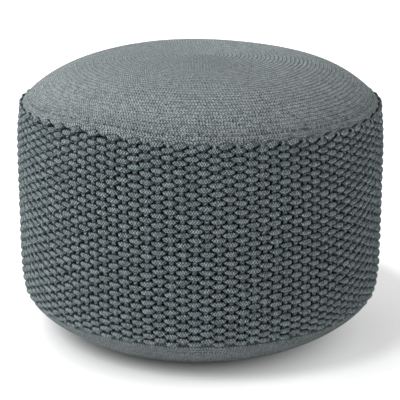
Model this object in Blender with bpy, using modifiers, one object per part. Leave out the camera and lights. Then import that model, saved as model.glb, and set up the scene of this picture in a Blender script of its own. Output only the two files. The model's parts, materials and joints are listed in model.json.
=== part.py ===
"""Round woven pouf: a filled drum with a domed top cover and a turned-in base cover.

Units are metres and +Z is up. The origin is the centre of the flat spot that the pouf rests on.
Every piece is a body of revolution about Z, turned from a profile of its own.
"""

import math

import bpy

# Driving dimensions of the whole pouf
WIDEST_RADIUS = 0.2535        # over the woven cords, at the fullest height
WIDEST_HEIGHT = 0.200
CROWN_HEIGHT = 0.382          # top of the dome
TOP_SEAM_RADIUS = 0.2440      # where the top cover dips between dome and side
TOP_SEAM_HEIGHT = 0.3225
BASE_SEAM_RADIUS = 0.2440
BASE_SEAM_HEIGHT = 0.0530
REST_RADIUS = 0.1650          # flat spot on the floor

# How full each stretch is: a higher power keeps it straight longer and turns it later
SIDE_UPPER_POWER = 4.4
SIDE_LOWER_POWER = 8.0
DOME_RADIAL_POWER = 4.0
DOME_DROP_POWER = 0.95
BASE_TURN_POWER = 1.28

# Cloth
COVER_THICKNESS = 0.0040      # stitched cord of both covers
LIP_RADIUS = 0.0018           # rolled edge of the woven band at each seam
TUCK_RADIUS = 0.0018          # rolled edge of each cover
LIP_MEETS_SIDE_DEG = 40.0     # angle above level where a lip's arc hands over to the side
GAP = 0.0003                  # between touching pieces

# Resolution
TURN_STEPS = 64
DOME_STEPS = 12
SIDE_STEPS = 16
BASE_STEPS = 7
EDGE_STEPS = 3                # round each rolled edge

# Yarn, linear colour
YARN_COLOUR = (0.127, 0.156, 0.160, 1.0)
COVER_COLOUR = (0.165, 0.197, 0.200, 1.0)
YARN_ROUGHNESS = 0.85


def clear_objects():
    """Start from an empty set of objects."""
    for old in list(bpy.data.objects):
        bpy.data.objects.remove(old, do_unlink=True)


def yarn_material(name, colour):
    """Plain yarn, matt and not metallic."""
    material = bpy.data.materials.new(name)
    material.use_nodes = True
    shader = material.node_tree.nodes["Principled BSDF"]
    shader.inputs["Base Color"].default_value = colour
    shader.inputs["Roughness"].default_value = YARN_ROUGHNESS
    shader.inputs["Metallic"].default_value = 0.0
    material.diffuse_color = colour
    return material


def offset_inwards(curve, distance):
    """Move each point of a profile to the right of its direction of travel, which is into the body."""
    moved = []
    last = len(curve) - 1
    for i, (radius, height) in enumerate(curve):
        before = curve[max(i - 1, 0)]
        after = curve[min(i + 1, last)]
        along_radius = after[0] - before[0]
        along_height = after[1] - before[1]
        length = math.hypot(along_radius, along_height)
        new_radius = radius + distance * along_height / length
        new_height = height - distance * along_radius / length
        moved.append((max(new_radius, 0.0), new_height))
    moved[0] = (curve[0][0], moved[0][1]) if curve[0][0] == 0.0 else moved[0]
    moved[-1] = (0.0, moved[-1][1]) if curve[-1][0] == 0.0 else moved[-1]
    return moved


def arc(centre, radius, start_deg, end_deg, steps):
    """Points of an arc in the profile's plane, both ends included."""
    points = []
    for i in range(steps + 1):
        angle = math.radians(start_deg + (end_deg - start_deg) * i / steps)
        points.append((centre[0] + radius * math.cos(angle), centre[1] + radius * math.sin(angle)))
    return points


def dome_curve():
    """Outer face of the top cover, from the crown out to where its edge starts to roll under."""
    end_radius = TOP_SEAM_RADIUS - TUCK_RADIUS
    rise = CROWN_HEIGHT - TOP_SEAM_HEIGHT
    points = []
    for i in range(DOME_STEPS + 1):
        radius = end_radius * math.sin(0.5 * math.pi * i / DOME_STEPS)
        fullness = 1.0 - (radius / TOP_SEAM_RADIUS) ** DOME_RADIAL_POWER
        points.append((radius, TOP_SEAM_HEIGHT + rise * fullness ** DOME_DROP_POWER))
    return points


def base_curve():
    """Outer face of the base cover, from where its edge rolls under in to the flat spot."""
    reach = BASE_SEAM_RADIUS - REST_RADIUS
    power = 2.0 / BASE_TURN_POWER
    first_angle = math.acos((1.0 - TUCK_RADIUS / reach) ** (1.0 / power))
    points = []
    for i in range(BASE_STEPS):
        angle = first_angle + (0.5 * math.pi - first_angle) * i / BASE_STEPS
        radius = REST_RADIUS + reach * math.cos(angle) ** power
        height = BASE_SEAM_HEIGHT * (1.0 - math.sin(angle) ** power)
        points.append((radius, height))
    points.append((REST_RADIUS, 0.0))
    points.append((0.0, 0.0))
    return points


def side_curve():
    """Outer face of the woven band, from its upper lip down to its lower lip."""
    upper = (TOP_SEAM_RADIUS + 2.0 * LIP_RADIUS, TOP_SEAM_HEIGHT - LIP_RADIUS)
    lower = (BASE_SEAM_RADIUS + 2.0 * LIP_RADIUS, BASE_SEAM_HEIGHT + LIP_RADIUS)
    points = []
    for i in range(SIDE_STEPS + 1):
        # the stations crowd together near both lips, where the face turns
        height = 0.5 * (upper[1] + lower[1]) + 0.5 * (upper[1] - lower[1]) * math.cos(math.pi * i / SIDE_STEPS)
        if height > WIDEST_HEIGHT:
            share = (height - WIDEST_HEIGHT) / (upper[1] - WIDEST_HEIGHT)
            drawn_in = (WIDEST_RADIUS - upper[0]) * share ** SIDE_UPPER_POWER
        else:
            share = (WIDEST_HEIGHT - height) / (WIDEST_HEIGHT - lower[1])
            drawn_in = (WIDEST_RADIUS - lower[0]) * share ** SIDE_LOWER_POWER
        points.append((WIDEST_RADIUS - drawn_in, height))
    return points


def top_cover_profile():
    """The domed cover: out along its face, round its rolled edge and back underneath."""
    face = dome_curve()
    underside = offset_inwards(face, COVER_THICKNESS)
    edge = arc((face[-1][0], face[-1][1] - TUCK_RADIUS), TUCK_RADIUS, 60.0, -30.0, EDGE_STEPS)
    return face + edge + underside[::-1]


def base_cover_profile():
    """The dished cover: out along its upper face, round its rolled edge, then in to the flat spot."""
    face = base_curve()
    upper_face = offset_inwards(face, COVER_THICKNESS)
    upper_face[-2] = (upper_face[-2][0], COVER_THICKNESS)
    edge = arc((face[0][0], face[0][1] + TUCK_RADIUS), TUCK_RADIUS, 30.0, -60.0, EDGE_STEPS)
    return upper_face[::-1] + edge + face


def side_band_profile():
    """The filled solid: under the top cover, over the lip, down the side and in above the base cover."""
    spacing = COVER_THICKNESS + GAP
    crown = offset_inwards(dome_curve(), spacing)
    floor = offset_inwards(base_curve(), spacing)
    floor[-2] = (floor[-2][0], spacing)
    upper_centre = (TOP_SEAM_RADIUS + LIP_RADIUS, TOP_SEAM_HEIGHT - LIP_RADIUS)
    lower_centre = (BASE_SEAM_RADIUS + LIP_RADIUS, BASE_SEAM_HEIGHT + LIP_RADIUS)
    upper_lip = arc(upper_centre, LIP_RADIUS, 180.0, LIP_MEETS_SIDE_DEG, EDGE_STEPS)
    lower_lip = arc(lower_centre, LIP_RADIUS, -LIP_MEETS_SIDE_DEG, -180.0, EDGE_STEPS)
    return crown + upper_lip + side_curve() + lower_lip + floor


def turned_piece(name, profile, material, collection):
    """A closed body of revolution: the profile is screwed once round Z."""
    mesh = bpy.data.meshes.new(name)
    vertices = [(radius, 0.0, height) for radius, height in profile]
    edges = [(i, i + 1) for i in range(len(profile) - 1)]
    mesh.from_pydata(vertices, edges, [])
    piece = bpy.data.objects.new(name, mesh)
    collection.objects.link(piece)
    screw = piece.modifiers.new("turn", "SCREW")
    screw.axis = "Z"
    screw.angle = 2.0 * math.pi
    screw.steps = TURN_STEPS
    screw.render_steps = TURN_STEPS
    screw.use_smooth_shade = True
    screw.use_merge_vertices = True
    screw.merge_threshold = 0.00001
    mesh.materials.append(material)
    return piece


def build_pouf():
    """All three pieces, in a collection of their own."""
    clear_objects()
    collection = bpy.data.collections.new("woven_pouf")
    bpy.context.scene.collection.children.link(collection)
    yarn = yarn_material("woven_yarn", YARN_COLOUR)
    cover = yarn_material("stitched_cord", COVER_COLOUR)
    turned_piece("side_band", side_band_profile(), yarn, collection)
    turned_piece("top_cover", top_cover_profile(), cover, collection)
    turned_piece("base_cover", base_cover_profile(), cover, collection)


build_pouf()
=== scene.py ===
import json
import math

import bmesh
import bpy
import numpy as np
from mathutils import Matrix, Vector

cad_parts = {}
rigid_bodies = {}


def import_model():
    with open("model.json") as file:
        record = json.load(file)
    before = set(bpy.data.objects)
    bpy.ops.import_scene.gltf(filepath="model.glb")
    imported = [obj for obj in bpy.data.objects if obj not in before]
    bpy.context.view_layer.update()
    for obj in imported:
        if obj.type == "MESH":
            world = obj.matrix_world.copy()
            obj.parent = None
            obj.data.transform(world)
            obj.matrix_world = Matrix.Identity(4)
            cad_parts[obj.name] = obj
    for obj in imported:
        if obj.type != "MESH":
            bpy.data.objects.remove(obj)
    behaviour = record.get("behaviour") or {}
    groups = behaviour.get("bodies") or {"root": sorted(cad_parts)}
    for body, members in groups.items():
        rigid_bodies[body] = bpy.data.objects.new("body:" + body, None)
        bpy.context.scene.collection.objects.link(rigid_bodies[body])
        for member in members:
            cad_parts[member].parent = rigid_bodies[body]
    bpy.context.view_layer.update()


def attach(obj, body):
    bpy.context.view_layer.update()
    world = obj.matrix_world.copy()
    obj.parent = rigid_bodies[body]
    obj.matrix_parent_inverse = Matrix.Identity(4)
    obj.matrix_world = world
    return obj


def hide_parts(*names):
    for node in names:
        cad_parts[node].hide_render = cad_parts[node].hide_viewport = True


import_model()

# Woven cord pouf, in metres, +Z up, standing on the origin.
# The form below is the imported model's own form; everything is laid on it.
form = {
    "widest": 0.2535,          # radius over the woven cords
    "widestAt": 0.200,         # height of that radius
    "crown": 0.382,            # top of the dome
    "topSeam": (0.2440, 0.3225),            # radius and height of each seam
    "baseSeam": (0.2440, 0.0530),
    "sideEnds": (0.2476, 0.3207, 0.0548),   # radius of both ends of the side, then their heights
    "restRadius": 0.1650,      # flat spot on the floor
    "upperPower": 4.4,         # higher keeps the side straight longer
    "lowerPower": 8.0,
    "domePowers": (4.0, 0.95), # higher keeps the dome level longer; lower makes its shoulder squarer
    "baseTurn": 1.28,          # 1 would turn the base in on a straight slope, 2 on a quarter of an oval
    "topRoll": 0.0018,         # the top cover's edge rolls under this far short of the seam
    "baseRoll": 0.17,          # the base cover's edge does so at this angle of its turn, in radians
    "points": (500, 400, 300), # of a profile: side and dome, base, flat spot
}

turn = 2.0 * math.pi
onePoint = 0.00002             # points closer together than this are one
pouf = bpy.data.collections.new("wovenPouf")
bpy.context.scene.collection.children.link(pouf)


def eased(share):
    # 0 below 0, 1 above 1, smooth in between
    share = np.clip(share, 0.0, 1.0)
    return share * share * (3.0 - 2.0 * share)


# a track is a profile measured along its own length
def trackOf(points):
    points = np.array(points, float)
    run = np.concatenate([[0.0], np.cumsum(np.hypot(*np.diff(points, axis=0).T))])
    return {"run": run, "radius": points[:, 0], "height": points[:, 1], "length": run[-1]}


def onTrack(track, run):
    # radius, height and the two parts of the outward direction at each run
    step = 0.0006              # the direction is taken over this much on either hand
    inner = np.clip(run, step, track["length"] - step)
    radius, height = (np.interp(run, track["run"], track[part]) for part in ("radius", "height"))
    alongRadius, alongHeight = (np.interp(inner + step, track["run"], track[part])
                                - np.interp(inner - step, track["run"], track[part])
                                for part in ("radius", "height"))
    length = np.hypot(alongRadius, alongHeight)
    return radius, height, -alongHeight / length, alongRadius / length


def awayFromWidest(height):
    # how far above and below the fullest height, as shares of the way to either end of the side
    top, bottom = form["sideEnds"][1:]
    above = np.clip((height - form["widestAt"]) / (top - form["widestAt"]), 0.0, 1.0)
    below = np.clip((form["widestAt"] - height) / (form["widestAt"] - bottom), 0.0, 1.0)
    return above, below


def sideTrack():
    endRadius, top, bottom = form["sideEnds"]
    height = np.linspace(top, bottom, form["points"][0])
    above, below = awayFromWidest(height)
    drawnIn = above ** form["upperPower"] + below ** form["lowerPower"]
    return trackOf(np.stack([form["widest"] - (form["widest"] - endRadius) * drawnIn, height], axis=1))


def domeTrack():
    seamRadius, seamHeight = form["topSeam"]
    angle = 0.5 * math.pi * np.linspace(0.0, 1.0, form["points"][0])
    radius = (seamRadius - form["topRoll"]) * np.sin(angle)
    outPower, dropPower = form["domePowers"]
    fullness = 1.0 - (radius / seamRadius) ** outPower
    height = seamHeight + (form["crown"] - seamHeight) * fullness ** dropPower
    return trackOf(np.stack([radius, height], axis=1))


def baseTrack():
    # from the middle of the flat spot out and up to the lower seam
    seamRadius, seamHeight = form["baseSeam"]
    basePoints, flatPoints = form["points"][1:]
    reach = seamRadius - form["restRadius"]
    power = 2.0 / form["baseTurn"]
    angle = np.linspace(0.5 * math.pi, form["baseRoll"], basePoints)
    radius = form["restRadius"] + reach * np.cos(angle) ** power
    height = seamHeight * (1.0 - np.sin(angle) ** power)
    flat = np.linspace(0.0, form["restRadius"], flatPoints, endpoint=False)
    radius = np.concatenate([flat, radius])
    height = np.concatenate([np.zeros(flatPoints), height])
    return trackOf(np.stack([radius, height], axis=1))


def meshFrom(name, bm):
    mesh = bpy.data.meshes.new(name)
    bm.to_mesh(mesh)
    bm.free()
    return mesh


def pieceFrom(name, bm, finish):
    mesh = meshFrom(name, bm)
    mesh.shade_smooth()
    mesh.materials.append(finish)
    piece = bpy.data.objects.new(name, mesh)
    pouf.objects.link(piece)
    return piece


def layUv(piece, along, around):
    # both are turns at each vertex; a corner past a join is carried over it
    mesh = piece.data
    corners = np.zeros(len(mesh.loops), np.int64)
    mesh.loops.foreach_get("vertex_index", corners)
    starts, sizes = np.zeros(len(mesh.polygons), np.int64), np.zeros(len(mesh.polygons), np.int64)
    mesh.polygons.foreach_get("loop_start", starts)
    mesh.polygons.foreach_get("loop_total", sizes)
    firsts = np.repeat(corners[starts], sizes)
    laid = np.zeros((len(corners), 2))
    for column, turns in enumerate((along, around)):
        value = turns[corners]
        laid[:, column] = value + np.round(turns[firsts] - value)
    layer = mesh.uv_layers.new(name="clothUv")
    layer.data.foreach_set("uv", laid.astype(np.float32).ravel())


def placesOf(mesh):
    places = np.zeros(len(mesh.vertices) * 3)
    mesh.vertices.foreach_get("co", places)
    return places.reshape(-1, 3)


def movePlaces(mesh, places):
    mesh.vertices.foreach_set("co", places.astype(np.float32).ravel())
    mesh.update()


def reachAndAngle(places):
    # how far each place is from the pouf's axis, and its angle round it
    return np.hypot(places[:, 0], places[:, 1]), np.arctan2(places[:, 1], places[:, 0])


def faceOut(piece):
    bm = bmesh.new()
    bm.from_mesh(piece.data)
    bmesh.ops.recalc_face_normals(bm, faces=bm.faces)
    bm.to_mesh(piece.data)
    bm.free()


def manyOf(mesh, count):
    bm = bmesh.new()
    for _ in range(count):
        bm.from_mesh(mesh)
    return bm


def spunFrom(profile, steps):
    # one edge is cut up and bent to the profile of radius and height, then turned once round Z
    bm = bmesh.new()
    bm.edges.new((bm.verts.new((0.0, 0.0, 0.0)), bm.verts.new((1.0, 0.0, 0.0))))
    bmesh.ops.subdivide_edges(bm, edges=bm.edges, cuts=len(profile) - 2)
    for corner, (radius, height) in zip(sorted(bm.verts, key=lambda corner: corner.co.x), profile):
        corner.co = (radius, 0.0, height)
    bmesh.ops.spin(bm, geom=bm.verts[:] + bm.edges[:], cent=(0, 0, 0), axis=(0, 0, 1),
                   angle=turn, steps=steps, use_merge=True)
    bmesh.ops.remove_doubles(bm, verts=bm.verts, dist=onePoint)
    bmesh.ops.recalc_face_normals(bm, faces=bm.faces)
    return bm


def ownNumbers(seed, *shape):
    # from -1 to 1, the same each time
    return np.random.default_rng(seed).uniform(-1.0, 1.0, shape)


# Shader maths: a Value is one socket, and sums on it add their Math nodes.
class Value:
    def __init__(self, tree, socket):
        self.tree, self.socket = tree, socket

    def node(self, kind, settings=None, sockets=None, output=0):
        made = self.tree.nodes.new(kind)
        for name, setting in (settings or {}).items():
            setattr(made, name, setting)
        for name, given in (sockets or {}).items():
            if isinstance(given, Value):
                self.tree.links.new(given.socket, made.inputs[name])
            else:
                made.inputs[name].default_value = given
        return Value(self.tree, made.outputs[output])

    def maths(self, operation, *given):
        return self.node("ShaderNodeMath", {"operation": operation}, dict(enumerate(given)))

    def __add__(self, other):
        return self.maths("ADD", self, other)

    def __sub__(self, other):
        return self.maths("SUBTRACT", self, other)

    def __mul__(self, other):
        return self.maths("MULTIPLY", self, other)

    def __radd__(self, other):
        return self.maths("ADD", other, self)

    def __rsub__(self, other):
        return self.maths("SUBTRACT", other, self)

    def __rmul__(self, other):
        return self.maths("MULTIPLY", other, self)

    def whole(self):
        return self.maths("FLOOR", self)

    def nearest(self):
        return self.maths("ROUND", self)

    def part(self):
        return self.maths("FRACT", self)

    def size(self):
        return self.maths("ABSOLUTE", self)

    def ridge(self):
        # 0 at whole numbers, 1 half way between them, rounded on top
        return self.maths("SINE", self * math.pi).size()

    def between(self, low, high):
        # 0 below low, 1 above high, smooth in between
        sockets = {"Value": self, "From Min": low, "From Max": high}
        return self.node("ShaderNodeMapRange", {"interpolation_type": "SMOOTHSTEP"}, sockets)

    def mixed(self, first, second):
        # two colours, by this share
        return self.node("ShaderNodeMix", {"data_type": "RGBA"}, {0: self, 6: first, 7: second}, output=2)

    def noise(self, scale, detail=2.0, roughness=0.5):
        sockets = {"Vector": self, "Scale": scale, "Detail": detail, "Roughness": roughness}
        return self.node("ShaderNodeTexNoise", {"noise_dimensions": "3D"}, sockets)


def vectorOf(x, y, z=0.0):
    return x.node("ShaderNodeCombineXYZ", None, {"X": x, "Y": y, "Z": z})


def randomOf(x, y, z=0.0):
    # one number from 0 to 1 for each whole x, y and z
    where = vectorOf(x, y, z)
    return where.node("ShaderNodeTexWhiteNoise", {"noise_dimensions": "3D"}, {"Vector": where})


# What every finish shares.
cloth = {
    "roughness": 0.85,
    "fibreRoughness": (0.2, 0.74),    # what the fibres add to it, and where it starts
    "sheen": 0.10,
    "sheenRoughness": 0.5,
    "shine": 0.3,
}


def newFinish(name, roughness, sheen):
    # gives the cloth's own length and width too, and the place on the pouf
    finish = bpy.data.materials.new(name)
    finish.use_nodes = True
    shader = finish.node_tree.nodes["Principled BSDF"]
    shader.inputs["Roughness"].default_value = roughness
    shader.inputs["Sheen Weight"].default_value = sheen
    shader.inputs["Sheen Roughness"].default_value = cloth["sheenRoughness"]
    shader.inputs["Specular IOR Level"].default_value = cloth["shine"]
    start = Value(finish.node_tree, None)
    laid = start.node("ShaderNodeUVMap", {"uv_map": "clothUv"})
    along = start.node("ShaderNodeSeparateXYZ", None, {0: laid})
    around = Value(along.tree, along.socket.node.outputs[1])
    body = start.node("ShaderNodeTexCoord", output=3)
    return finish, along, around, body


def wire(finish, colour, roughness, height, strength, distance):
    shader = finish.node_tree.nodes["Principled BSDF"]
    links = finish.node_tree.links
    links.new(colour.socket, shader.inputs["Base Color"])
    links.new(roughness.socket, shader.inputs["Roughness"])
    sockets = {"Height": height, "Strength": strength, "Distance": distance}
    normal = height.node("ShaderNodeBump", None, sockets)
    links.new(normal.socket, shader.inputs["Normal"])


def fibreRough(fibre):
    rougher, least = cloth["fibreRoughness"]
    return fibre * rougher + least


# Cord: strands cross both ways, as in a round braid; the strands' ridges get a painted highlight, and the
# creases between strands and the gaps between cords get painted shade.
rowYarn = {
    "light": (0.375, 0.468, 0.484, 1.0),
    "dark": (0.034, 0.050, 0.055, 1.0),
    # painted shade: the colour of the creases and of the gaps between cords
    "creaseShade": (0.009, 0.014, 0.016, 1.0),
    "creaseDepth": 0.90,
    "relief": 0.0014,
    "strandsAlong": 9,         # to one wave of the weave
    "strandsRound": 4,
    "tip": 0.0,                # how much paler the upper tips are painted, lifting the painted shade where a cord comes forward
}
# painted shade: the upright cord is coloured darker than the level cord, for the shade of its recess behind
# the floats; its upper tip is left paler
shadedUprightYarn = {
    "light": (0.250, 0.312, 0.325, 1.0),
    "dark": (0.054, 0.073, 0.079, 1.0),
    # painted shade: the colour of the creases and of the gaps between cords
    "creaseShade": (0.009, 0.014, 0.016, 1.0),
    "creaseDepth": 0.80,
    "relief": 0.0012,
    "strandsAlong": 3,         # to two rows of the weave
    "strandsRound": 3,
    "tip": 0.7,
}
braid = {
    "nextCord": 0.37,          # a cord's strands start this much further along than its neighbour's
    "stray": (120.0, 0.8),     # of a strand: how fine it is, and how far it goes
    "under": (0.2, 0.3),       # parts the two kinds of crossing, which come as 0 and 0.5
    "fibre": (740.0, 3.0, 0.75),    # how fine, then the detail and how rough that is
    "patch": 55.0,             # how fine the slow light and dark is
    # how much lighter these make the yarn, and how dark it is without them; the ridges' share is a painted
    # highlight on the strands' tops
    "ridgeShade": 1.10,
    "strandShade": 0.38,
    "fibreShade": 1.60,
    "patchShade": 0.15,
    "darkness": 1.53,
    "tipEnd": (0.15, 0.40),    # a tip's painted paleness fades out here, counted in pairs of rows
    "creaseAt": (0.35, 0.90),  # painted shade between the ridges: depth at which it starts, and at which it is full
    "reliefShares": (0.8, 0.35),    # how much of it is strands, and how much is fibres
}
leaf = {                       # painted shade round the lit face of a float
    "middle": 0.52,            # its place round the cord, a touch above half way
    "shorter": 6.5,            # higher makes it shorter
    "narrower": 4.2,
    "face": (0.12, 0.21, 0.95),     # where the painted shade starts round the cord, where it is full, how much
    "rim": (0.70, 1.00, 0.72),      # the same for the painted shade at the leaf's outline
}
uprightFace = {                # painted shade round the lit face of an upright
    "shown": (0.35, 0.85),     # starts to show, and shows fully, out of the painted shade of the floats: 0 is behind a float, 1 between two
    "face": (0.14, 0.26, 0.8),
}


def braidedCord(name, yarn, lit):
    # lit takes the cord's length and width and says how far each place is out of the painted shade of the
    # gaps
    finish, alongUv, around, body = newFinish(name, cloth["roughness"], cloth["sheen"])
    strayFineness, stray = braid["stray"]
    drift = body.noise(strayFineness)
    along = alongUv * yarn["strandsAlong"] + around.whole() * braid["nextCord"] + drift * stray
    right = along + around * yarn["strandsRound"]
    left = along - around * yarn["strandsRound"]
    over = ((right.whole() + left.whole()) * 0.5).part().between(*braid["under"])
    ridge = over * right.ridge() + (1 - over) * left.ridge()
    strand = randomOf(right.whole(), left.whole(), around.whole())
    fibre = body.noise(*braid["fibre"])
    patch = body.noise(braid["patch"])
    tip = (1 - alongUv.between(*braid["tipEnd"])) * yarn["tip"]
    # painted highlight: the strands' ridges are painted paler than the hollows between them
    shade = ridge * braid["ridgeShade"] + strand * braid["strandShade"] + fibre * braid["fibreShade"]
    shade = shade + patch * braid["patchShade"] - braid["darkness"] + tip
    colour = shade.between(0.0, 1.0).mixed(yarn["dark"], yarn["light"])
    # painted shade: creases between strands and gaps between cords are mixed towards the shade colour
    creaseShade = (1 - ridge).between(*braid["creaseAt"]) * yarn["creaseDepth"]
    paintedShade = 1 - (1 - creaseShade) * lit(alongUv, around)
    colour = paintedShade.mixed(colour, yarn["creaseShade"])
    ofStrands, ofFibres = braid["reliefShares"]
    wire(finish, colour, fibreRough(fibre), ridge * ofStrands + fibre * ofFibres, 1.0, yarn["relief"])
    return finish


def litTo(away, start, end, depth):
    # painted shade: 1 up to the start, and darker by the depth past the end
    return 1 - away.between(start, end) * depth


def litRow(along, around):
    # painted shade on the row cord: floats are at whole numbers along, and the cord's lit face is half way
    # round it; its top and bottom edges and the leaf's outline are painted dark
    fromFloat = ((along + 0.5).part() - 0.5).size()
    fromFace = (around.part() - leaf["middle"]).size()
    outOfLeaf = fromFloat * fromFloat * leaf["shorter"] + fromFace * leaf["narrower"]
    return litTo(fromFace, *leaf["face"]) * litTo(outOfLeaf, *leaf["rim"])


def litUpright(along, around):
    # painted shade on the upright: it is left lit where no float covers it, in alternate rows in
    # neighbouring uprights, and at its upper tip, and is painted dark at its sides
    shown = (along + around.whole() * 0.5).ridge().between(*uprightFace["shown"])
    return shown * litTo((around.part() - 0.5).size(), *uprightFace["face"])


# Covers: v counts the rounds from the middle out and u goes once round; each round is a flat braid.
coverYarn = {
    "light": (0.480, 0.550, 0.556, 1.0),
    "dark": (0.074, 0.096, 0.101, 1.0),
    # painted shade: the colour of the creases, grooves, pits and edge
    "creaseShade": (0.018, 0.026, 0.029, 1.0),
    "creaseDepth": 0.90,
    "relief": 0.0013,
    "pitch": 0.00565,          # width of one round
    "stitch": 0.0039,
    "seamPits": 150,           # times that the seam's thread dips into the cover, once round
    "seamPitRound": 1.2,       # how many rounds in from the edge
}
# painted shade: the base is wound of the same cord as the top cover, coloured darker for the shade under the
# pouf
shadedBaseYarn = coverYarn | {
    "light": (0.262, 0.304, 0.308, 1.0),
    "dark": (0.030, 0.040, 0.043, 1.0),
    "creaseDepth": 0.85,
}
stitching = {
    "wobble": (22.0, 0.4),     # slow stray of a round: how fine it is, and how far it goes
    "fray": (420.0, 0.18),     # the same of its quick stray
    "fibre": (600.0, 3.0, 0.75),    # how fine, then the detail and how rough that is
    "patch": 30.0,             # how fine the slow light and dark is
    "ownStart": (1.7, 7.0),    # each round's stitches start at a place of their own
    "lean": 1.1,               # of a stitch, from the middle of its round to the sides
    "jumble": 1.4,             # how far single stitches stray
    "raised": (0.80, 0.20),    # how much of the relief is stitches, and how much the round's two halves
    "fibreRelief": 0.25,
    "outer": (0.40, 0.95),     # the painted shade towards the edge grows more and more between these shares of the way out
    "ownShade": 0.40,
    "fibreShade": 1.20,
    "patchShade": 0.04,
    "evenShade": 1.44,         # what these come to on a place that is neither pale nor dark
    # pairs: at the middle of the cover, and how much more where the painted shade towards the edge is full
    "contrast": (0.50, 0.50),
    "paleness": (0.53, -0.05),
    "creases": (0.40, 0.60),
    "pits": (0.40, 0.55),
    "grooves": (0.62, -0.26),  # painted shade between one round and the next
    "creaseAt": (0.32, 0.88),
    "grooveAt": (0.50, 1.0),
    "pulls": (11.0, 3.3, 0.60, 0.68, 0.6),      # long stretches of painted shade in the grooves: two rates, two limits, depth
    "dipAt": (0.3, 0.9),
    "dips": (0.4, 0.6),        # depth of every dip, sunk in relief and painted with shade, and how much more some have
    "threadStray": (0.6, 5.0, 1.2),     # of the seam's thread: across, then slowly and quickly along
    "threadAt": (0.12, 0.40, 0.80, 0.98, 0.8),  # its limits across the cover and along the seam, depth
    "edgeAt": (0.84, 1.0, 0.22),    # painted shade at the edge: where, and how much
}


def stitchedRounds(name, yarn, lastRound):
    finish, alongUv, outward, body = newFinish(name, cloth["roughness"], cloth["sheen"])
    (wobbleFineness, wobbleStray), (frayFineness, frayStray) = stitching["wobble"], stitching["fray"]
    wobble, fray = body.noise(wobbleFineness), body.noise(frayFineness)
    across = outward + wobble * wobbleStray + fray * frayStray
    cordRound, inRound = across.whole(), across.part()
    count = ((cordRound + 0.5) * (turn * yarn["pitch"] / yarn["stitch"])).nearest()
    ownRate, ownStray = stitching["ownStart"]
    start = randomOf(cordRound, cordRound * ownRate) * ownStray
    fromMiddle = (inRound - 0.5).size()
    stitches = alongUv * count + start + fromMiddle * stitching["lean"] + fray * stitching["jumble"]
    half, inHalf = (inRound * 2.0).whole(), (inRound * 2.0).part()
    own = randomOf(stitches.whole(), cordRound, half)
    ofStitches, ofHalves = stitching["raised"]
    raised = stitches.ridge() * ofStitches + inHalf.ridge() * ofHalves
    fibre = body.noise(*stitching["fibre"])
    patch = body.noise(stitching["patch"])
    # painted shade: towards the edge the tone is painted darker and the creases and pits deeper
    wayOut = outward * (1.0 / lastRound)
    outer = wayOut.between(*stitching["outer"])

    def outwards(pair):
        atMiddle, more = stitching[pair]
        return outer * more + atMiddle

    # painted highlight: raised stitches are painted paler than the hollows between them
    shade = raised + own * stitching["ownShade"] + fibre * stitching["fibreShade"]
    shade = shade + patch * stitching["patchShade"] - stitching["evenShade"]
    shade = shade * outwards("contrast") + outwards("paleness")
    colour = shade.between(0.0, 1.0).mixed(yarn["dark"], yarn["light"])
    # painted shade: creases, grooves between rounds, pits, stretches and the seam thread's dips are mixed
    # towards the shade colour
    creaseShade = (1 - raised).between(*stitching["creaseAt"]) * yarn["creaseDepth"] * outwards("creases")
    groove = (1 - inRound.ridge()).between(*stitching["grooveAt"])
    pullsAlong, pullsAcross, pullStart, pullEnd, pullDepth = stitching["pulls"]
    pulled = vectorOf(alongUv * pullsAlong, cordRound * pullsAcross).noise(1.0).between(pullStart, pullEnd)
    dipDepth, ownDepth = stitching["dips"]
    dip = (1 - stitches.ridge()).between(*stitching["dipAt"]) * (dipDepth + own * ownDepth)
    pit = groove * (1 - (1 - dip) * (1 - pulled * pullDepth))
    pit = 1 - (1 - pit) * (1 - seamThread(alongUv, outward, wobble, fray, yarn, lastRound))
    paintedShade = (1 - creaseShade) * (1 - pit * outwards("pits")) * (1 - groove * outwards("grooves"))
    paintedShade = 1 - paintedShade * litTo(wayOut, *stitching["edgeAt"])
    colour = paintedShade.mixed(colour, yarn["creaseShade"])
    relief = raised - pit + fibre * stitching["fibreRelief"]
    wire(finish, colour, fibreRough(fibre), relief, 1.0, yarn["relief"])
    return finish


def seamThread(alongUv, outward, wobble, fray, yarn, lastRound):
    # how deep the thread that sews the edge to the side dips into each place; each dip is sunk in relief and
    # painted with shade
    strayAcross, wobbleAlong, strayAlong = stitching["threadStray"]
    nearStart, nearEnd, dipStart, dipEnd, depth = stitching["threadAt"]
    fromSeam = (outward + fray * strayAcross - (lastRound - yarn["seamPitRound"])).size()
    thread = alongUv * yarn["seamPits"] + wobble * wobbleAlong + fray * strayAlong
    return (1 - fromSeam.between(nearStart, nearEnd)) * thread.ridge().between(dipStart, dipEnd) * depth


# painted shade: the filling is coloured near black for the deep shade seen through the gaps between cords
fillingShadeCloth = {
    "light": (0.022, 0.027, 0.029, 1.0),
    "dark": (0.008, 0.010, 0.011, 1.0),
    "weave": 700.0,
    "roughness": (0.1, 0.85),
    "plainRoughness": 0.95,
    "strength": 0.4,
    "relief": 0.0006,
}


def shadeDarkFilling(name):
    finish, _, _, body = newFinish(name, fillingShadeCloth["plainRoughness"], 0.0)
    weave = body.noise(fillingShadeCloth["weave"])
    colour = weave.mixed(fillingShadeCloth["dark"], fillingShadeCloth["light"])
    rougher, least = fillingShadeCloth["roughness"]
    wire(finish, colour, weave * rougher + least, weave, fillingShadeCloth["strength"], fillingShadeCloth["relief"])
    return finish


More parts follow.
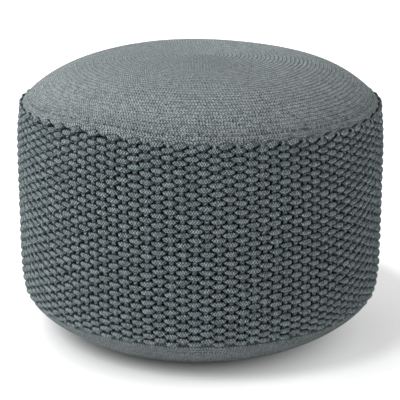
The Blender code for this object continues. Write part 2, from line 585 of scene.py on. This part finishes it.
# Floor, light and camera.
studio = {
    # painted shadow: the floor's own glow and its paleness, each close by and far off, the radii between,
    # then their middle
    "paintedFloorGlow": (0.0, 0.52, 0.123, 0.257, (-0.018, -0.028, 0.0)),
    "paintedFloorShadow": (0.40, 0.90, 0.257, 0.302, (0.052, 0.060, 0.0)),
    "floorRadius": 30.0,
    "floorRoughness": 0.9,
    "sky": 0.24,               # even light from all round
    # strength, softness in degrees, level direction that it comes from, its height in degrees
    "lamps": {
        "keyLight": (1.77, 55.0, (-1.0, -0.60), 28.0),
        "sideLight": (1.05, 55.0, (-1.0, 0.0), 28.0),
        "backLight": (1.20, 55.0, (-0.45, 0.89), 45.0),
        "fillLight": (0.37, 55.0, (1.0, -0.30), 25.0),
    },
    "lens": 132.7,
    "sensor": 36.0,
    "seenFrom": (0.05, 100.0), # nearest and furthest that the camera sees
    "cameraAt": (-0.0005, -1.979, 0.797),
    "lookDown": 17.47,
}


def makeSky(scene):
    sky = bpy.data.worlds.new("paleStudio")
    scene.world = sky
    sky.use_nodes = True
    backdrop = sky.node_tree.nodes["Background"]
    backdrop.inputs["Color"].default_value = (1.0, 1.0, 1.0, 1.0)
    seen = Value(sky.node_tree, None).node("ShaderNodeLightPath")    # white where it is looked at
    strength = seen * (1.0 - studio["sky"]) + studio["sky"]
    sky.node_tree.links.new(strength.socket, backdrop.inputs["Strength"])


def makeLamps(scene):
    for name, (power, softness, (x, y), height) in studio["lamps"].items():
        lamp = bpy.data.lights.new(name, "SUN")
        lamp.energy = power
        lamp.angle = math.radians(softness)
        holder = bpy.data.objects.new(name, lamp)
        level = math.hypot(x, y)
        rise = math.tan(math.radians(height))
        holder.rotation_mode = "QUATERNION"
        holder.rotation_quaternion = Vector((x / level, y / level, rise)).to_track_quat("Z", "Y")
        scene.collection.objects.link(holder)


def paintedShadowFloor():
    pale = bpy.data.materials.new("paintedShadowFloor")
    pale.use_nodes = True
    shader = pale.node_tree.nodes["Principled BSDF"]
    shader.inputs["Roughness"].default_value = studio["floorRoughness"]
    shader.inputs["Emission Strength"].default_value = 1.0
    place = Value(pale.node_tree, None).node("ShaderNodeTexCoord", output=3)
    # painted shadow: the floor glows and is paler further from a point near the pouf, and is darker close to
    # it
    for socket, part in (("Emission Color", "paintedFloorGlow"), ("Base Color", "paintedFloorShadow")):
        near, far, inner, outer, middle = studio[part]
        away = place.node("ShaderNodeVectorMath", {"operation": "DISTANCE"}, {0: place, 1: middle}, output=1)
        grey = away.between(inner, outer).mixed((near,) * 3 + (1.0,), (far,) * 3 + (1.0,))
        pale.node_tree.links.new(grey.socket, shader.inputs[socket])
    return pale


def makeFloor(scene):
    bm = bmesh.new()
    bmesh.ops.create_circle(bm, cap_ends=True, segments=64, radius=studio["floorRadius"])
    floor = bpy.data.objects.new("floor", meshFrom("floor", bm))
    floor.data.materials.append(paintedShadowFloor())
    scene.collection.objects.link(floor)


def makeCamera(scene):
    lens = bpy.data.cameras.new("camera")
    lens.lens = studio["lens"]
    lens.sensor_width = studio["sensor"]
    lens.clip_start, lens.clip_end = studio["seenFrom"]
    camera = bpy.data.objects.new("camera", lens)
    camera.location = studio["cameraAt"]
    camera.rotation_euler = (math.radians(90.0 - studio["lookDown"]), 0.0, 0.0)
    scene.collection.objects.link(camera)
    scene.camera = camera


bpy.context.scene.view_settings.view_transform = "Standard"
for make in (makeSky, makeLamps, makeFloor, makeCamera):
    make(bpy.context.scene)
print("studio: floor, lights and camera are set")


# Woven side: level cords that pass in front of one upright and behind the next.
rows = {
    "count": 46,
    "bands": 4,                # the rows are kept as this many pieces
    "waves": 53,               # times in front of an upright, once round
    "stepsPerWave": 14,
    "crowding": 0.16,          # how much these steps crowd together where a cord dives
    "sides": 8,
    "ends": (0.0009, 0.0036),  # from both ends of the side to the first and last row
    "firstGap": 1.37,          # the first row has this much more room
    "closerAtTop": (0.20, 1.95),    # rows are packed closer towards both seams: how much, how late
    "closerAtBase": (0.167, 5.1),
    "tall": (0.0040, 0.0011),  # half height of a cord where it shows, and pinched behind an upright
    "deep": (0.0032, 0.0019),  # half depth at the same places
    "float": 0.76,             # length of a float, as a share of a wave
    "taper": 0.85,             # higher makes its ends more pointed
    "swing": 0.0082,           # how far in it goes behind an upright
    "dive": (0.39, 0.50),      # where it starts to go in, and over how much, as shares of half a wave
    "leanDeg": 1.41,           # columns drift this far round from the top to half way down
    "leanFaceDeg": 12.0,       # where they do so most, from the front
    "leanPower": 6,            # higher keeps the lean closer to there
    "wander": 0.0040,          # how far columns stray from even spacing, in radians
    # their waves: how many once round, turns from the top to the bottom, start
    "wanders": ((3, 0.7, 0.4), (7, -1.1, 2.9), (13, 1.6, 5.1), (19, -2.3, 1.2), (26, 3.1, 3.7)),
    "firstFloatDeg": 0.74,     # a float of the top row, in degrees from the front
    "edge": (1.15, 0.0012, 0.80),   # the top row's floats: taller, prouder and longer
    "edgeDown": 0.0008,        # and a little lower
    "slants": (0.0013, 0.0004, 0.0003),     # rise of a float over its length, top rows
    # where the weave is laid higher or lower: how much, then its middle and half width in
    # degrees from the front, then the same as shares of the side's height
    "drifts": ((0.0111, -38.4, 21.8, -0.30, 0.525), (-0.0069, 56.0, 23.8, 1.17, 1.17)),
    "driftEnd": (0.84, 0.16),  # the drifts die away from here down, over this much
    "slowWaves": (5, 0.13, 0.0005),         # how many, their turn from row to row, their height
    # how much one float differs from the next: its place up the side, slant, height, how far out
    "own": (0.0007, 0.0005, 0.06, 0.0003),
    "seeds": (5, 11),          # of the floats' differences, and of the slow waves
}


def rowRuns(side):
    above, below = awayFromWidest(side["height"])
    (topShare, topPower), (baseShare, basePower) = rows["closerAtTop"], rows["closerAtBase"]
    spacing = 1.0 - topShare * above ** topPower - baseShare * below ** basePower
    passed = np.concatenate([[0.0], np.cumsum(np.diff(side["run"]) / spacing[1:])])
    ends = np.interp([rows["ends"][0], side["length"] - rows["ends"][1]], side["run"], passed)
    places = np.concatenate([[0.0], rows["firstGap"] + np.arange(rows["count"] - 1.0)])
    return np.interp(ends[0] + (ends[1] - ends[0]) * places / places[-1], passed, side["run"])


def fromFront(angle):
    # degrees from the front, -180 to 180, counted to the right
    return (np.degrees(angle) + 90.0 + 180.0) % 360.0 - 180.0


def leanAt(share, angle):
    near = 0.5 + 0.5 * np.cos(np.radians(fromFront(angle) - rows["leanFaceDeg"]))
    lean = math.radians(rows["leanDeg"]) * near ** rows["leanPower"] * np.clip(share / 0.5, 0.0, 1.0)
    for number, rate, phase in rows["wanders"]:
        lean = lean + 0.5 * rows["wander"] * np.sin(number * angle + turn * rate * share + phase)
    return lean


def driftAt(share, angle):
    total = np.zeros_like(angle)
    for rise, face, faceWidth, middle, shareWidth in rows["drifts"]:
        away = ((fromFront(angle) - face) / faceWidth) ** 2 + ((share - middle) / shareWidth) ** 2
        total += rise * np.exp(-away)
    endsAt, endsOver = rows["driftEnd"]
    return total * (1.0 - eased((share - endsAt) / endsOver))


def slowWave(angle, row):
    # a few long waves round the pouf, alike in neighbouring rows
    count, turnPerRow, size = rows["slowWaves"]
    phases = np.random.default_rng(rows["seeds"][1]).uniform(0.0, turn, count)
    total = np.zeros_like(angle)
    for number, phase in enumerate(phases, start=2):
        total += np.sin(number * angle + phase + turnPerRow * (number - 1) * row) / number
    return size * total


def columnAngle(column):
    # angle of an upright at the top; even columns carry the floats of the top row
    return math.radians(rows["firstFloatDeg"] - 90.0) + column * math.pi / rows["waves"]


def plainRing():
    # an even ring of radius 1 whose section is a circle of radius 0.1
    ring = bmesh.new()
    bmesh.ops.create_circle(ring, segments=rows["sides"], radius=0.1)
    bmesh.ops.rotate(ring, verts=ring.verts, cent=(0, 0, 0), matrix=Matrix.Rotation(0.5 * math.pi, 3, "X"))
    bmesh.ops.translate(ring, verts=ring.verts, vec=(1.0, 0.0, 0.0))
    bmesh.ops.spin(ring, geom=ring.verts[:] + ring.edges[:], cent=(0, 0, 0), axis=(0, 0, 1),
                   angle=turn, steps=rows["waves"] * rows["stepsPerWave"], use_merge=True)
    bmesh.ops.recalc_face_normals(ring, faces=ring.faces)
    return meshFrom("plainRing", ring)


def rowPlaces(side, row, wave, section, own):
    # wave counts the angle along each cord, a full turn from one float to the next
    middles = rowRuns(side)
    share = middles[row] / side["length"]
    theta = wave / rows["waves"] + columnAngle(0) - (row % 2) * math.pi / rows["waves"]
    theta = theta + leanAt(share, theta)
    nearest = np.round(wave / turn)
    higher, slanted, taller, prouder = own[row, nearest.astype(int) % rows["waves"]].T
    ownHigher, ownSlant, ownTall, ownProud = rows["own"]
    slants = np.zeros(rows["count"])
    slants[:len(rows["slants"])] = rows["slants"]
    edge = (row == 0) * 1.0
    edgeTall, edgeProud, edgeFloat = rows["edge"]
    fromFloat = np.abs(wave / turn - nearest) * 2.0    # 0 on a float, 1 behind an upright
    front = 0.5 + 0.5 * np.cos(wave)
    # the middle line: how far down the side
    run = middles[row] - driftAt(share, theta) + slowWave(theta, row) * (1.0 - edge)
    run = run + front * higher * ownHigher + rows["edgeDown"] * edge
    run = run - (slants[row] + ownSlant * slanted) * front * np.sin(wave)
    # the cord's size, and how far out it stands
    longness = rows["float"] + (edgeFloat - rows["float"]) * edge
    full = np.clip(1.0 - (fromFloat / longness) ** 2, 0.0, 1.0) ** rows["taper"]
    tall, deep = (behind + (shown - behind) * full for shown, behind in (rows["tall"], rows["deep"]))
    tall = tall * (1.0 + (ownTall * taller + (edgeTall - 1.0) * edge) * full)
    diveStart, diveShare = rows["dive"]
    dive = eased((fromFloat - diveStart) / diveShare)
    proud = -rows["deep"][0] - rows["swing"] * dive + front * (ownProud * prouder + edgeProud * edge)
    held = np.clip(run, 0.0, side["length"])
    radius, height, outRadius, outHeight = onTrack(side, held)
    outward = deep * np.cos(section) + proud
    upward = tall * np.sin(section) - (run - held)
    reach = radius + outward * outRadius - upward * outHeight
    level = height + outward * outHeight + upward * outRadius
    return np.stack([reach * np.cos(theta), reach * np.sin(theta), level], axis=1)


def weaveRows(finish):
    side = sideTrack()
    plain = plainRing()
    places = placesOf(plain)
    reach, angle = reachAndAngle(places)
    ringSection = np.arctan2(places[:, 2], reach - 1.0)
    own = ownNumbers(rows["seeds"][0], rows["count"], rows["waves"], 4)
    made = []
    for number, bandRows in enumerate(np.array_split(np.arange(rows["count"]), rows["bands"])):
        piece = pieceFrom(f"woven_rows_{number + 1}", manyOf(plain, len(bandRows)), finish)
        row = np.repeat(bandRows, len(places))
        section = np.tile(ringSection, len(bandRows))
        wave = rows["waves"] * np.tile(angle, len(bandRows))
        wave = wave + rows["crowding"] * np.sin(2.0 * wave)
        movePlaces(piece.data, rowPlaces(side, row, wave, section, own))
        layUv(piece, wave / turn, section / turn + 0.5 + row)
        made.append(piece)
    bpy.data.meshes.remove(plain)
    return made


# Upright cords.
uprights = {
    "stepsPerRow": 2,
    "stepsMore": 3,            # at the two ends
    "sides": 6,
    "half": (0.0034, 0.0017),  # half width and half depth
    "depth": 0.0056,           # middle line below the side's surface
    "swing": 0.0010,           # in and out between the rows
    "curl": 0.0016,            # run past each seam, where it turns in
    "curlIn": 0.0030,          # and how far in it turns
    "nub": 0.0045,             # how far it comes forward between the floats of the top row
    "nubRows": 0.9,            # and over how many rows
    "slimmer": (0.6, 0.3),     # at the very ends, and at a nub
    "own": (0.0003, 0.0012),   # how much one differs from the next: its depth, and its angle
    "seed": 9,
}


def plainStalk():
    # a straight cord of length 1 and radius 0.1, with all its cross cuts
    stalk = bmesh.new()
    bmesh.ops.create_cone(stalk, cap_ends=True, segments=uprights["sides"], radius1=0.1, radius2=0.1,
                          depth=1.0)
    lengthwise = [edge for edge in stalk.edges if abs(edge.verts[0].co.z - edge.verts[1].co.z) > 0.5]
    cuts = rows["count"] * uprights["stepsPerRow"] + uprights["stepsMore"]
    bmesh.ops.subdivide_edges(stalk, edges=lengthwise, cuts=cuts, use_grid_fill=True)
    return meshFrom("plainStalk", stalk)


def weaveUprights(finish):
    side = sideTrack()
    middles = rowRuns(side)
    count = 2 * rows["waves"]
    plain = plainStalk()
    places = placesOf(plain)
    piece = pieceFrom("upright_cords", manyOf(plain, count), finish)
    bpy.data.meshes.remove(plain)
    column = np.repeat(np.arange(count), len(places))
    section = np.tile(np.arctan2(places[:, 1], places[:, 0]), count)
    curl = uprights["curl"]
    run = np.tile(places[:, 2] + 0.5, count) * (side["length"] + 2.0 * curl) - curl
    held = np.clip(run, 0.0, side["length"])
    over = np.abs(run - held) / curl      # 0 on the side, 1 at the tip
    share = held / side["length"]
    theta = columnAngle(column)
    drift = driftAt(share, theta)
    rowAt = np.interp(run + drift, middles, np.arange(rows["count"]))
    deeper, aside = ownNumbers(uprights["seed"], count, 2)[column].T
    ownDepth, ownAngle = uprights["own"]
    depth = uprights["depth"] + uprights["swing"] * np.cos(math.pi * (rowAt + column)) + ownDepth * deeper
    nub = (1.0 - eased(rowAt / uprights["nubRows"])) * (column % 2)
    depth = depth - uprights["nub"] * nub + uprights["curlIn"] * over ** 2
    radius, height, outRadius, outHeight = onTrack(side, held)
    theta = theta + leanAt(share, theta) + ownAngle * aside
    halfWidth, halfDepth = uprights["half"]
    endSlimmer, nubSlimmer = uprights["slimmer"]
    slim = (1.0 - endSlimmer * over ** 3) * (1.0 - nubSlimmer * nub)
    outward = halfDepth * slim * np.cos(section) - depth
    sideways = halfWidth * slim * np.sin(section)
    reach = radius + outward * outRadius
    level = height + outward * outHeight - (run - held) + drift * np.clip(1.0 - rowAt, 0.0, 1.0)
    x = reach * np.cos(theta) - sideways * np.sin(theta)
    y = reach * np.sin(theta) + sideways * np.cos(theta)
    movePlaces(piece.data, np.stack([x, y, level], axis=1))
    faceOut(piece)
    layUv(piece, 0.5 * rowAt, section / turn + 0.5 + column)
    return piece


# Covers: cord wound in rounds and stitched.
covers = {
    "pointsPerRound": 4,
    "turnSteps": 318,          # six to each float of the side
    "roundRise": 0.0007,       # each round stands this far proud of its grooves
    "dimple": 0.0016,          # depth of the very middle
    "tuck": 0.0075,            # edge turned into the seam
    "tuckPoints": ((0.0012, 0.14), (0.0004, 0.50), (-0.0020, 1.0)),     # further out, share of the tuck
    "scallop": 0.0022,         # the top cover's edge dips this far between the floats
    "scallopAt": (0.2345, 0.008),           # from this radius, over this much
    "scallopOut": (0.8, 0.1),  # how much of a dip goes outwards, and the least radius that it divides by
    "ownScallop": 0.35,        # how much one dip differs from the next
    "followAt": (0.205, 0.035),             # where the edge follows the top row's drift
    "uneven": (0.0009, 0.28, -0.045),       # the filling's long wave across: size, length, a crest's place
    "unevenEnds": (0.10, 0.2442, 6),        # grown by the first radius, gone at the second, how late
    "seed": 21,
}


def roundsOf(track):
    return round(track["length"] / coverYarn["pitch"])


def woundCover(name, track, finish, outwardSign):
    count = roundsOf(track)
    share = np.linspace(0.0, 1.0, count * covers["pointsPerRound"] + 1)
    radius, height, outRadius, outHeight = onTrack(track, share * track["length"])
    outRadius, outHeight = outRadius * outwardSign, outHeight * outwardSign
    groove = -covers["roundRise"] * np.cos(math.pi * share * count) ** 2
    groove[0] = -covers["dimple"]
    radius, height = radius + groove * outRadius, np.maximum(height + groove * outHeight, 0.0)
    radius[0] = 0.0
    tuck = covers["tuck"] * outwardSign
    edge = [(radius[-1] + further, height[-1] - part * tuck) for further, part in covers["tuckPoints"]]
    profile = list(zip(radius, height)) + edge
    piece = pieceFrom(name, spunFrom(profile, covers["turnSteps"]), finish)
    places = placesOf(piece.data)
    reach, theta = reachAndAngle(places)
    # rounds are counted along the cover, so they stay one pitch wide where it turns down
    spun = trackOf(profile)
    pastEdge = spun["run"][-len(edge):] - spun["run"][-len(edge) - 1]
    rounds = np.concatenate([share * count, count + pastEdge / coverYarn["pitch"]])
    apart = np.hypot(spun["radius"] - reach[:, None], spun["height"] - places[:, 2][:, None])
    layUv(piece, theta / turn, rounds[np.argmin(apart, axis=1)])
    return piece


def settleTop(piece):
    # the cover's edge follows the drift of the top row and hangs over the seam between two floats
    places = placesOf(piece.data)
    reach, theta = reachAndAngle(places)
    size, length, crest = covers["uneven"]
    grownAt, goneAt, gonePower = covers["unevenEnds"]
    uneven = size * np.cos(turn * (places[:, 0] - crest) / length)
    uneven = uneven * (1.0 - np.clip(reach / goneAt, 0.0, 1.0) ** gonePower) * eased(reach / grownAt)
    followFrom, followOver = covers["followAt"]
    follow = driftAt(np.zeros_like(theta), theta) * eased((reach - followFrom) / followOver)
    places[:, 2] += uneven + follow
    scallopFrom, scallopOver = covers["scallopAt"]
    near = np.clip((reach - scallopFrom) / scallopOver, 0.0, 1.0) ** 2
    wave = rows["waves"] * (theta - columnAngle(0))
    own = ownNumbers(covers["seed"], rows["waves"])[np.floor(wave / turn).astype(int) % rows["waves"]]
    push = covers["scallop"] * near * (0.5 - 0.5 * np.cos(wave)) ** 1.5 * (1.0 + covers["ownScallop"] * own)
    outShare, leastReach = covers["scallopOut"]
    places[:, :2] *= (1.0 + push * outShare / np.maximum(reach, leastReach))[:, None]
    places[:, 2] -= push
    movePlaces(piece.data, places)


# The filled body that the cords lie on.
filling = {
    "belowSurface": 0.0137,    # under the face of the woven cords
    "belowCovers": 0.0045,
    "stations": (14, 24, 16),  # under the top cover, the side and the base
    "turnSteps": 96,
    "fill": 0.85,
}


def filledBody(finish):
    underTop, behindSide, overBase = filling["stations"]
    stretches = (
        (domeTrack(), filling["belowCovers"], underTop, 1),
        (sideTrack(), filling["belowSurface"], behindSide, 1),
        (baseTrack(), filling["belowCovers"], overBase, -1),    # from the seam in to the middle
    )
    profile = []
    for track, sunk, stations, outwardSign in stretches:
        runs = np.linspace(0.0, track["length"], stations)[::outwardSign]
        radius, height, outRadius, outHeight = onTrack(track, runs)
        sunk = sunk * outwardSign
        profile += list(zip(radius - sunk * outRadius, height - sunk * outHeight))
    most = form["widest"] - filling["belowSurface"]
    profile = [(min(max(radius, 0.0), most), height) for radius, height in profile]
    profile[0], profile[-1] = (0.0, profile[0][1]), (0.0, profile[-1][1])
    piece = pieceFrom("filled_body", spunFrom(profile, filling["turnSteps"]), finish)
    return piece


rowCord = braidedCord("braidedRowCord", rowYarn, litRow)
uprightCord = braidedCord("braidedUprightCord", shadedUprightYarn, litUpright)
topCord = stitchedRounds("stitchedRounds", coverYarn, roundsOf(domeTrack()))
shadedBaseCord = stitchedRounds("shadedBaseStitchedRounds", shadedBaseYarn, roundsOf(baseTrack()))
fillingShade = shadeDarkFilling("shadeDarkFilling")
print("finishes: row cord, upright cord, stitched rounds and lining are made")

woven = weaveRows(rowCord)
print("side: level cords are woven")
standing = weaveUprights(uprightCord)
print("side: upright cords are in")
topCover = woundCover("top_cover_rounds", domeTrack(), topCord, 1.0)
settleTop(topCover)
baseCover = woundCover("base_cover_rounds", baseTrack(), shadedBaseCord, -1.0)
print("covers: both are wound")
filled = filledBody(fillingShade)
print("body: filled")

for piece in woven + [standing, filled]:
    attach(piece, "root")
    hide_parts("side_band")
for piece, node in ((topCover, "top_cover"), (baseCover, "base_cover")):
    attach(piece, "root")
    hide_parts(node)

for piece in woven + [standing, topCover, baseCover, filled]:
    print(piece.name, "has", sum(len(face.vertices) - 2 for face in piece.data.polygons), "triangles")
